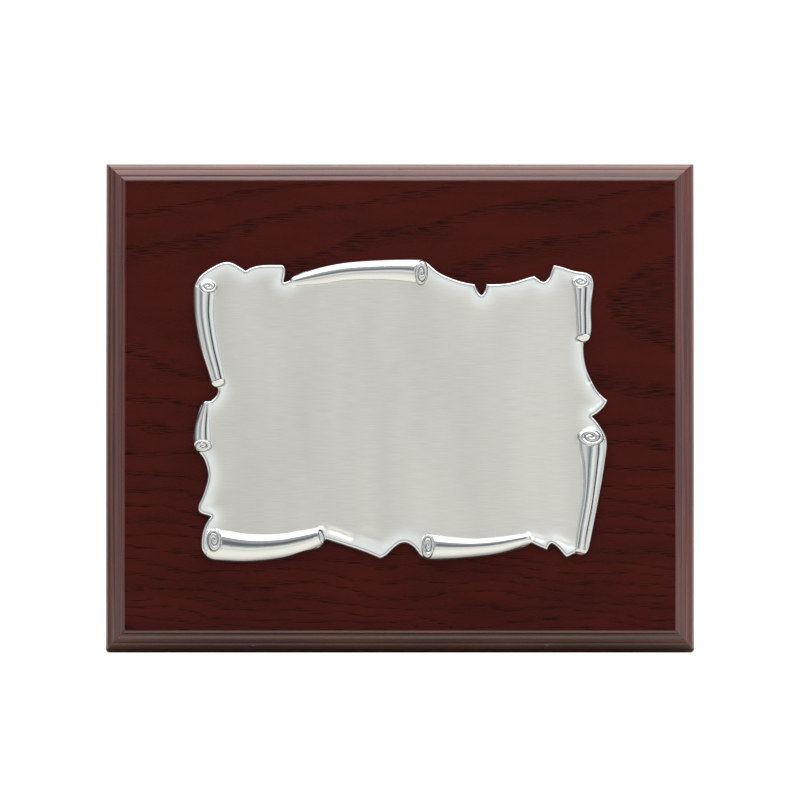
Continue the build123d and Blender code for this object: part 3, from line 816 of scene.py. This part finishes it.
def makeScrollPlate():
    loop, hollow = readPlateLoops()
    edge = evenOutline(loop, plateSizes["outlineStep"], plateSizes["cornerTurn"])
    outline = Outline(edge)
    rolls = [prepareRoll(roll) for roll in plateRolls]
    rim = [(i, (i + 1) % len(edge)) for i in range(len(edge))]
    places, front = meshFront(platePoints(edge, outline, rolls), rim, outline)
    heights, polish, dark = plateHeights(places, outline.distance(places), rolls)
    tree = treeOf(places)
    rimNames = [tree.find((*p, 0))[1] for p in edge]
    behind = meshBehind(edge, hollow, rim, rimNames, outline, len(places))
    spots = [np.column_stack([places, heights])]
    for ring, out in ((edge, plateSizes["rimGap"]), (hollow, plateSizes["rimGap"]),
                      (hollow, plateSizes["rise"] - plateSizes["skin"])):
        spots.append(np.column_stack([ring, np.full(len(ring), out)]))
    mesh = bpy.data.meshes.new("scrollPlate")
    mesh.from_pydata(fromPlate(np.vstack(spots)).tolist(), [], front + behind)
    mesh.validate()
    # the second attribute holds painted shade: creases, spiral grooves, the line inside the rim and round the
    # roll ends
    for name, onSheet, elsewhere in (("polish", polish, 1), ("paintedCreaseShade", dark, 0)):
        values = np.full(len(mesh.vertices), elsewhere, np.float32)
        values[:len(onSheet)] = onSheet
        mesh.attributes.new(name, "FLOAT", "POINT").data.foreach_set("value", values)
    # map for the brushing: across and up on the plate, the same scale both ways
    low = edge.min(0)
    width = edge[:, 0].max() - low[0]
    flatMap = (toPlate([v.co for v in mesh.vertices])[:, :2] - low) / width
    uv = mesh.uv_layers.new(name="brushMap")
    loopVerts = np.zeros(len(mesh.loops), int)
    mesh.loops.foreach_get("vertex_index", loopVerts)
    uv.data.foreach_set("uv", flatMap[loopVerts].astype(np.float32).ravel())
    plate = bpy.data.objects.new("scrollPlate", mesh)
    scene.collection.objects.link(plate)
    for face in mesh.polygons:
        face.use_smooth = True
    for meshEdge in mesh.edges:
        if min(meshEdge.vertices) >= len(places):  # behind the front
            meshEdge.use_edge_sharp = True
    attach(plate, "board")
    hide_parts("scroll_plate")
    print("scroll plate made,", len(mesh.polygons), "faces")
    return plate, width


scrollPlate, plateWidth = makeScrollPlate()


plateMetal = {
    # the brushed and border tones are lighter than the polished metal's: the same nickel, its satin field
    # lifted with painted light
    "brushed": "#e6e7e1",
    "brushedDark": "#ddded8",
    "border": "#ebf0f1",
    "paintedLightDark": "#f0f0f0",  # painted reflection: soft upright bands of lighter and darker reflection, as a tint
    "paintedLightBright": "#ffffff",
    "polished": "#cbcfcf",
    # colour of the painted shade in the creases, spiral grooves and round the roll ends
    "paintedShadeColour": "#3a3d3f",
    "scratchLength": 12.0,  # millimetres; real brushing is finer, and is drawn this coarse to show
    "scratchWidth": 0.35,
    "reflectionBandWidth": 34.0,
    "brushedRoughness": 0.42,
    "borderRoughness": 0.5,
    "polishedRoughness": 0.16,
}


def pressedPlateMetal(look):
    # nickel plated sheet, pressed, polished on its rim and rolls, its field brushed across: the brushing
    # spreads the light up and down, the polished edges mirror the studio, the creases carry painted shade,
    # and the field's tone carries painted light and painted reflection
    material, tree, shader = newMaterial("pressedNickelPlateBrushedAndPolished")
    brushMap = addNode(tree, "ShaderNodeUVMap", uv_map="brushMap").outputs[0]
    scaled = addNode(tree, "ShaderNodeVectorMath", {0: brushMap, "Scale": plateWidth}, operation="SCALE")
    scratches = grainPattern(tree, scaled.outputs[0], look["scratchLength"], look["scratchWidth"], 3.0, 0.6,
                               dimensions="2D")
    # painted reflection: soft upright bands across the brushed field
    reflectionBands = grainPattern(tree, scaled.outputs[0], look["reflectionBandWidth"], 150, 2.0, dimensions="2D")
    tone = addNode(tree, "ShaderNodeValToRGB", {"Fac": scratches})
    setColours(tone, [(0.32, look["brushedDark"]), (0.68, look["brushed"])])
    # a slight tint, lighter to the right, stands in for uneven light on the field
    leaning = addNode(tree, "ShaderNodeSeparateXYZ", {0: scaled.outputs[0]})
    sweep = addNode(tree, "ShaderNodeMapRange", {
        "Value": leaning.outputs[0], "From Min": 15.0, "From Max": plateWidth - 15,
        "To Min": -0.22, "To Max": 0.22})
    # painted light and painted reflection together tint the brushed tone
    paintedLightSum = addNode(tree, "ShaderNodeMath", {0: reflectionBands, 1: sweep.outputs[0]}, operation="ADD")
    paintedLightTone = addNode(tree, "ShaderNodeValToRGB", {"Fac": paintedLightSum.outputs[0]})
    setColours(paintedLightTone, [(0.2, look["paintedLightDark"]), (0.8, look["paintedLightBright"])])
    paintedLightTinted = addNode(tree, "ShaderNodeMix", {
        "Factor": 1.0, "A": tone.outputs[0], "B": paintedLightTone.outputs[0]},
        data_type="RGBA", blend_type="MULTIPLY")
    polish = addNode(tree, "ShaderNodeAttribute", attribute_name="polish").outputs["Fac"]
    shine = addNode(tree, "ShaderNodeMapRange", {
        "Value": polish, "From Min": 0.93, "From Max": 0.995}, interpolation_type="SMOOTHSTEP")
    bordered = addNode(tree, "ShaderNodeMix", {
        "Factor": polish, "A": paintedLightTinted.outputs[2], "B": linear(look["border"])}, data_type="RGBA")
    colour = addNode(tree, "ShaderNodeMix", {
        "Factor": shine.outputs[0], "A": bordered.outputs[2], "B": linear(look["polished"])},
        data_type="RGBA")
    # painted shade: darkens the creases, the spiral's grooves, the line inside the rim and the lines round
    # the roll ends
    paintedCreaseShade = addNode(tree, "ShaderNodeAttribute", attribute_name="paintedCreaseShade").outputs["Fac"]
    darkened = addNode(tree, "ShaderNodeMix", {
        "Factor": paintedCreaseShade, "A": colour.outputs[2], "B": linear(look["paintedShadeColour"])}, data_type="RGBA")
    satin = addNode(tree, "ShaderNodeMix", {
        "Factor": polish, "A": look["brushedRoughness"], "B": look["borderRoughness"]}, data_type="FLOAT")
    rough = addNode(tree, "ShaderNodeMix", {
        "Factor": shine.outputs[0], "A": satin.outputs[0], "B": look["polishedRoughness"]}, data_type="FLOAT")
    unpolished = addNode(tree, "ShaderNodeMath", {0: 1.0, 1: polish}, operation="SUBTRACT")
    grooves = addNode(tree, "ShaderNodeBump", {
        "Height": scratches, "Distance": 0.000012, "Strength": unpolished.outputs[0]})
    tangent = addNode(tree, "ShaderNodeTangent", direction_type="UV_MAP", uv_map="brushMap")
    setInputs(shader, {"Base Color": darkened.outputs[2], "Roughness": rough.outputs[0],
                       "Normal": grooves.outputs[0], "Tangent": tangent.outputs[0],
                       "Metallic": 1.0, "Anisotropic": 0.55})
    return material


scrollPlate.data.materials.append(pressedPlateMetal(plateMetal))


veneerLook = {
    "base": "#39120f",
    "baseLight": "#3e1410",
    "late": "#34110d",
    "pore": "#130706",
    "arcMiddle": 52.0,  # millimetres above the board's middle, where the grain's arches point
    "arcStart": 108.0,  # and how far right of it the last arch starts
    "arcOpening": 18.0,
    "ringPeriod": 95.0,
    "wander": 26.0,  # how far the arches stray over a long stretch, and how ragged their lines are
    "jitter": 2.6,
    "earlyWood": 0.42,  # share of a ring over which its pores thin out
    "lateWood": 0.93,
}


def lacqueredVeneer(look):
    # flat cut ash veneer, stained mahogany and lacquered: dark open pores gathered in arches, under gloss
    material, tree, shader = newMaterial("stainedAshVeneerGlossLacquer")
    place = boardMillimetres(tree)
    wander = grainPattern(tree, place, 70, 30, 2.0)
    jitter = grainPattern(tree, place, 12, 3.0, 2.0)
    split = addNode(tree, "ShaderNodeSeparateXYZ", {0: place})
    u, v = split.outputs[0], split.outputs[1]
    wandered = addNode(tree, "ShaderNodeMath", {0: wander, 1: look["wander"], 2: v}, operation="MULTIPLY_ADD")
    wandered = addNode(tree, "ShaderNodeMath", {0: jitter, 1: look["jitter"], 2: wandered.outputs[0]},
                       operation="MULTIPLY_ADD")
    average = (look["wander"] + look["jitter"]) / 2
    fromMiddle = addNode(tree, "ShaderNodeMath", {
        0: wandered.outputs[0], 1: look["arcMiddle"] + average}, operation="SUBTRACT")
    squared = addNode(tree, "ShaderNodeMath", {0: fromMiddle.outputs[0], 1: 2.0}, operation="POWER")
    arch = addNode(tree, "ShaderNodeMath", {
        0: squared.outputs[0], 1: -1 / look["arcOpening"], 2: u}, operation="MULTIPLY_ADD")
    shifted = addNode(tree, "ShaderNodeMath", {0: arch.outputs[0], 1: look["arcStart"]}, operation="SUBTRACT")
    ring = addNode(tree, "ShaderNodeMath", {0: shifted.outputs[0], 1: look["ringPeriod"]}, operation="DIVIDE")
    phase = addNode(tree, "ShaderNodeMath", {0: ring.outputs[0]}, operation="FRACT")
    early = addNode(tree, "ShaderNodeMapRange", {
        "Value": phase.outputs[0], "From Min": look["earlyWood"], "From Max": 0.0},
        interpolation_type="SMOOTHSTEP")
    late = addNode(tree, "ShaderNodeMapRange", {
        "Value": phase.outputs[0], "From Min": look["lateWood"], "From Max": 1.0})
    band = addNode(tree, "ShaderNodeMath", {0: early.outputs[0], 1: late.outputs[0]}, operation="MAXIMUM")
    # open pores are about 0.2 mm wide in ash; they are drawn wider, to show
    dashes = grainPattern(tree, place, 9.0, 0.55, 1.5, 0.5)
    finePores = grainPattern(tree, place, 5.0, 0.3, 1.0, 0.5)
    dashCut = addNode(tree, "ShaderNodeMapRange", {"Value": dashes, "From Min": 0.46, "From Max": 0.6})
    fineCut = addNode(tree, "ShaderNodeMapRange", {"Value": finePores, "From Min": 0.55, "From Max": 0.75})
    strong = addNode(tree, "ShaderNodeMath", {
        0: band.outputs[0], 1: dashCut.outputs[0]}, operation="MULTIPLY")
    cloud = grainPattern(tree, place, 60, 16, 3.0)
    base = addNode(tree, "ShaderNodeValToRGB", {"Fac": cloud})
    setColours(base, [(0.32, look["late"]), (0.5, look["base"]), (0.68, look["baseLight"])])
    weak = addNode(tree, "ShaderNodeMath", {0: fineCut.outputs[0], 1: 0.35}, operation="MULTIPLY")
    pores = addNode(tree, "ShaderNodeMath", {0: strong.outputs[0], 1: weak.outputs[0]}, operation="MAXIMUM")
    part = addNode(tree, "ShaderNodeMath", {0: pores.outputs[0], 1: 0.85}, operation="MULTIPLY")
    colour = addNode(tree, "ShaderNodeMix", {
        "Factor": part.outputs[0], "A": base.outputs[0], "B": linear(look["pore"])}, data_type="RGBA")
    relief = addNode(tree, "ShaderNodeBump", {
        "Height": pores.outputs[0], "Distance": 0.000008, "Strength": 0.5}, invert=True)
    setInputs(shader, {"Base Color": colour.outputs[2], "Normal": relief.outputs[0], "Roughness": 0.5,
                       "Specular IOR Level": 0.0, "Coat Weight": 1.0, "Coat Roughness": 0.05})
    return material


mouldingLook = {"base": "#431811", "light": "#501f17", "dark": "#2d100c"}


def lacqueredMoulding(look, upright):
    # machined hardwood moulding, stained and lacquered: long straight grain under a thick gloss film
    material, tree, shader = newMaterial("stainedMouldingGlossLacquer" + ("Upright" if upright else "Level"))
    place = boardMillimetres(tree, upright)
    streaks = grainPattern(tree, place, 60, 1.3, 3.0, 0.6)
    pores = grainPattern(tree, place, 6, 0.3, 1.0)
    tone = addNode(tree, "ShaderNodeValToRGB", {"Fac": streaks})
    setColours(tone, [(0.35, look["dark"]), (0.5, look["base"]), (0.66, look["light"])])
    poreCut = addNode(tree, "ShaderNodeMapRange", {
        "Value": pores, "From Min": 0.55, "From Max": 0.75, "To Max": 0.5})
    colour = addNode(tree, "ShaderNodeMix", {
        "Factor": poreCut.outputs[0], "A": tone.outputs[0], "B": linear(look["dark"])}, data_type="RGBA")
    ripple = grainPattern(tree, place, 25, 0.9, 2.0)
    relief = addNode(tree, "ShaderNodeBump", {"Height": ripple, "Distance": 0.00003, "Strength": 0.6})
    setInputs(shader, {"Base Color": colour.outputs[2], "Normal": relief.outputs[0],
                       "Coat Normal": relief.outputs[0], "Roughness": 0.45, "Specular IOR Level": 0.0,
                       "Coat Weight": 1.0, "Coat Roughness": 0.12, "Coat IOR": 1.66})
    return material


def paint(node, material):
    # a CAD node keeps its mesh and gets its finish
    data = frame["nodes"][node].data
    data.materials.clear()
    data.materials.append(material)


paint("face_veneer", lacqueredVeneer(veneerLook))

softEdges = {
    # node: bevel in millimetres, name, body and slot of the softened piece
    "moulding_top": (0.28, "lacqueredMouldingTop", "board", "lacquered_moulding"),
    "moulding_bottom": (0.28, "lacqueredMouldingBottom", "board", "lacquered_moulding"),
    "moulding_left": (0.28, "lacqueredMouldingLeft", "board", "lacquered_moulding"),
    "moulding_right": (0.28, "lacqueredMouldingRight", "board", "lacquered_moulding"),
    "easel_strut": (0.5, "easelStrutBoard", "strut", "strut_board"),
    "keyhole_hanger": (0.12, "keyholeHangerPlate", "board", "zinc_plated_steel"),
    "hinge_fixed_leaf": (0.12, "hingeFixedLeaf", "board", "zinc_plated_steel"),
    "hinge_moving_leaf": (0.12, "hingeMovingLeaf", "strut", "zinc_plated_steel"),
}


def softened(node, material):
    # the node's own shape with its arrises rounded, as lacquer, plating or sanding leaves them
    width, name, body, slot = softEdges[node]
    deselectAll()
    frame["nodes"][node].select_set(True)
    bpy.context.view_layer.objects.active = frame["nodes"][node]
    bpy.ops.object.duplicate()
    piece = bpy.context.object
    piece.name = name
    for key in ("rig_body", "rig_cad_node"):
        if key in piece:
            del piece[key]
    bpy.ops.object.mode_set(mode="EDIT")
    bpy.ops.mesh.select_all(action="SELECT")
    bpy.ops.mesh.remove_doubles(threshold=0.000002)
    bpy.ops.mesh.dissolve_limited(angle_limit=math.radians(1))
    bpy.ops.object.mode_set(mode="OBJECT")
    bevel = piece.modifiers.new("softArrises", "BEVEL")
    bevel.width = width * mm
    bevel.segments = 3
    bevel.limit_method = "ANGLE"
    bevel.angle_limit = math.radians(24)
    bpy.ops.object.modifier_apply(modifier=bevel.name)
    bpy.ops.object.shade_smooth_by_angle(angle=math.radians(30))
    piece.data.materials.clear()
    piece.data.materials.append(material)
    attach(piece, body)
    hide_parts(node)


levelMoulding = lacqueredMoulding(mouldingLook, False)
uprightMoulding = lacqueredMoulding(mouldingLook, True)
softened("moulding_top", levelMoulding)
softened("moulding_bottom", levelMoulding)
softened("moulding_left", uprightMoulding)
softened("moulding_right", uprightMoulding)
print("wood finished")

backLook = {"base": "#4b2b20", "light": "#57352a", "dark": "#3a2018", "pore": "#2a1611"}


def satinBacking(look):
    # rotary cut backing veneer, stained and given one thin coat: quiet upright grain, half matt
    material, tree, shader = newMaterial("stainedBackingVeneerSatin")
    place = boardMillimetres(tree, True)
    waves = grainPattern(tree, place, 90, 9, 3.0)
    streaks = grainPattern(tree, place, 40, 0.9, 2.0, 0.6)
    mixed = addNode(tree, "ShaderNodeMath", {0: waves, 1: streaks}, operation="ADD")
    tone = addNode(tree, "ShaderNodeMapRange", {
        "Value": mixed.outputs[0], "From Min": 0.75, "From Max": 1.25})
    base = addNode(tree, "ShaderNodeValToRGB", {"Fac": tone.outputs[0]})
    setColours(base, [(0.1, look["dark"]), (0.5, look["base"]), (0.9, look["light"])])
    pores = grainPattern(tree, place, 7, 0.35, 1.0)
    cut = addNode(tree, "ShaderNodeMapRange", {
        "Value": pores, "From Min": 0.58, "From Max": 0.72, "To Max": 0.8})
    colour = addNode(tree, "ShaderNodeMix", {
        "Factor": cut.outputs[0], "A": base.outputs[0], "B": linear(look["pore"])}, data_type="RGBA")
    relief = addNode(tree, "ShaderNodeBump", {
        "Height": cut.outputs[0], "Distance": 0.00004, "Strength": 0.7}, invert=True)
    setInputs(shader, {"Base Color": colour.outputs[2], "Normal": relief.outputs[0], "Roughness": 0.42})
    return material


fibreLook = {"base": "#8f6f4c", "light": "#a98a63", "dark": "#6d5236"}


def fibreboard(look):
    # medium density fibreboard as sawn: tan fibres in a darker felt, dead matt
    material, tree, shader = newMaterial("mediumDensityFibreboardSawn")
    place = boardMillimetres(tree)
    fibres = grainPattern(tree, place, 1.6, 0.5, 4.0, 0.7)
    tone = addNode(tree, "ShaderNodeValToRGB", {"Fac": fibres})
    setColours(tone, [(0.32, look["dark"]), (0.5, look["base"]), (0.68, look["light"])])
    relief = addNode(tree, "ShaderNodeBump", {"Height": fibres, "Distance": 0.00015, "Strength": 0.8})
    setInputs(shader, {"Base Color": tone.outputs[0], "Normal": relief.outputs[0], "Roughness": 0.92})
    return material


strutLook = {"base": "#2a1c18", "light": "#382620", "dark": "#1c1210"}


def paintedStrutBoard(look):
    # hardboard strut with a rubbed dark stain: upright drag marks and a faint eggshell sheen
    material, tree, shader = newMaterial("stainedHardboardEggshell")
    place = boardMillimetres(tree, True, math.pi - leanTurn)
    drag = grainPattern(tree, place, 55, 1.1, 3.0, 0.65)
    felt = grainPattern(tree, place, 0.9, 0.9, 3.0, 0.6)
    tone = addNode(tree, "ShaderNodeValToRGB", {"Fac": drag})
    setColours(tone, [(0.35, look["dark"]), (0.5, look["base"]), (0.68, look["light"])])
    sheen = addNode(tree, "ShaderNodeMapRange", {"Value": felt, "To Min": 0.4, "To Max": 0.62})
    relief = addNode(tree, "ShaderNodeBump", {"Height": felt, "Distance": 0.00005, "Strength": 0.6})
    setInputs(shader, {"Base Color": tone.outputs[0], "Roughness": sheen.outputs[0],
                       "Normal": relief.outputs[0]})
    return material


zincLook = {"base": "#b4b8bb", "cool": "#a9b0b8", "warm": "#bfbcae", "roughness": (0.24, 0.42)}
brassLook = {"base": "#c39a4a", "cool": "#b48c3e", "warm": "#cfa85a", "roughness": (0.2, 0.36)}


def platedSteel(name, look):
    # stamped steel with a thin bright plating: cloudy, a little streaked, worn dull where it rubs
    material, tree, shader = newMaterial(name)
    place = boardMillimetres(tree)
    clouds = grainPattern(tree, place, 6, 4, 3.0)
    rolled = grainPattern(tree, place, 9, 0.25, 2.0, 0.6)
    tone = addNode(tree, "ShaderNodeValToRGB", {"Fac": clouds})
    setColours(tone, [(0.35, look["cool"]), (0.5, look["base"]), (0.66, look["warm"])])
    both = addNode(tree, "ShaderNodeMath", {0: clouds, 1: rolled}, operation="ADD")
    dull = addNode(tree, "ShaderNodeMapRange", {
        "Value": both.outputs[0], "From Min": 0.7, "From Max": 1.3,
        "To Min": look["roughness"][0], "To Max": look["roughness"][1]})
    relief = addNode(tree, "ShaderNodeBump", {"Height": rolled, "Distance": 0.000008, "Strength": 0.5})
    setInputs(shader, {"Base Color": tone.outputs[0], "Roughness": dull.outputs[0],
                       "Normal": relief.outputs[0], "Metallic": 1.0})
    return material


softLook = {"foam": "#e9e7e0", "foamPitShade": "#c9c6bd", "rubber": "#1d1d1e", "rubberDust": "#2b2b2b"}


def foamTape(look):
    # white polyethylene foam tape: small closed cells, matt, with painted shade in the cells' pits
    material, tree, shader = newMaterial("polyethyleneFoamTape")
    place = boardMillimetres(tree)
    cells = addNode(tree, "ShaderNodeTexVoronoi", {"Vector": place, "Scale": 2.5})  # cells of 0.4 mm
    # painted shade: the cells' low middles are darker
    tone = addNode(tree, "ShaderNodeValToRGB", {"Fac": cells.outputs["Distance"]})
    setColours(tone, [(0.0, look["foamPitShade"]), (0.6, look["foam"])])
    relief = addNode(tree, "ShaderNodeBump", {
        "Height": cells.outputs["Distance"], "Distance": 0.00008, "Strength": 0.7})
    setInputs(shader, {"Base Color": tone.outputs[0], "Normal": relief.outputs[0], "Roughness": 0.88})
    return material


def bumperRubber(look):
    # moulded rubber: black with a bloom of dust and a fine grain
    material, tree, shader = newMaterial("mouldedRubberMatt")
    place = boardMillimetres(tree)
    bloom = grainPattern(tree, place, 2.5, 2.5, 3.0)
    grain = grainPattern(tree, place, 0.3, 0.3, 2.0)
    tone = addNode(tree, "ShaderNodeValToRGB", {"Fac": bloom})
    setColours(tone, [(0.4, look["rubber"]), (0.7, look["rubberDust"])])
    relief = addNode(tree, "ShaderNodeBump", {"Height": grain, "Distance": 0.00003, "Strength": 0.5})
    setInputs(shader, {"Base Color": tone.outputs[0], "Normal": relief.outputs[0], "Roughness": 0.6})
    return material


zinc = platedSteel("zincPlatedSteelStamped", zincLook)
brass = platedSteel("brassPlatedSteelTurned", brassLook)
paint("core_panel", fibreboard(fibreLook))
paint("back_veneer", satinBacking(backLook))
paint("plate_foam_pads", foamTape(softLook))
paint("wall_bumpers", bumperRubber(softLook))
paint("hinge_pin", zinc)
paint("hanger_screws", zinc)
paint("fixed_leaf_screws", brass)
paint("moving_leaf_screws", brass)
softened("keyhole_hanger", zinc)
softened("hinge_fixed_leaf", zinc)
softened("hinge_moving_leaf", zinc)
softened("easel_strut", paintedStrutBoard(strutLook))
print("back, hanger, hinge and strut finished")
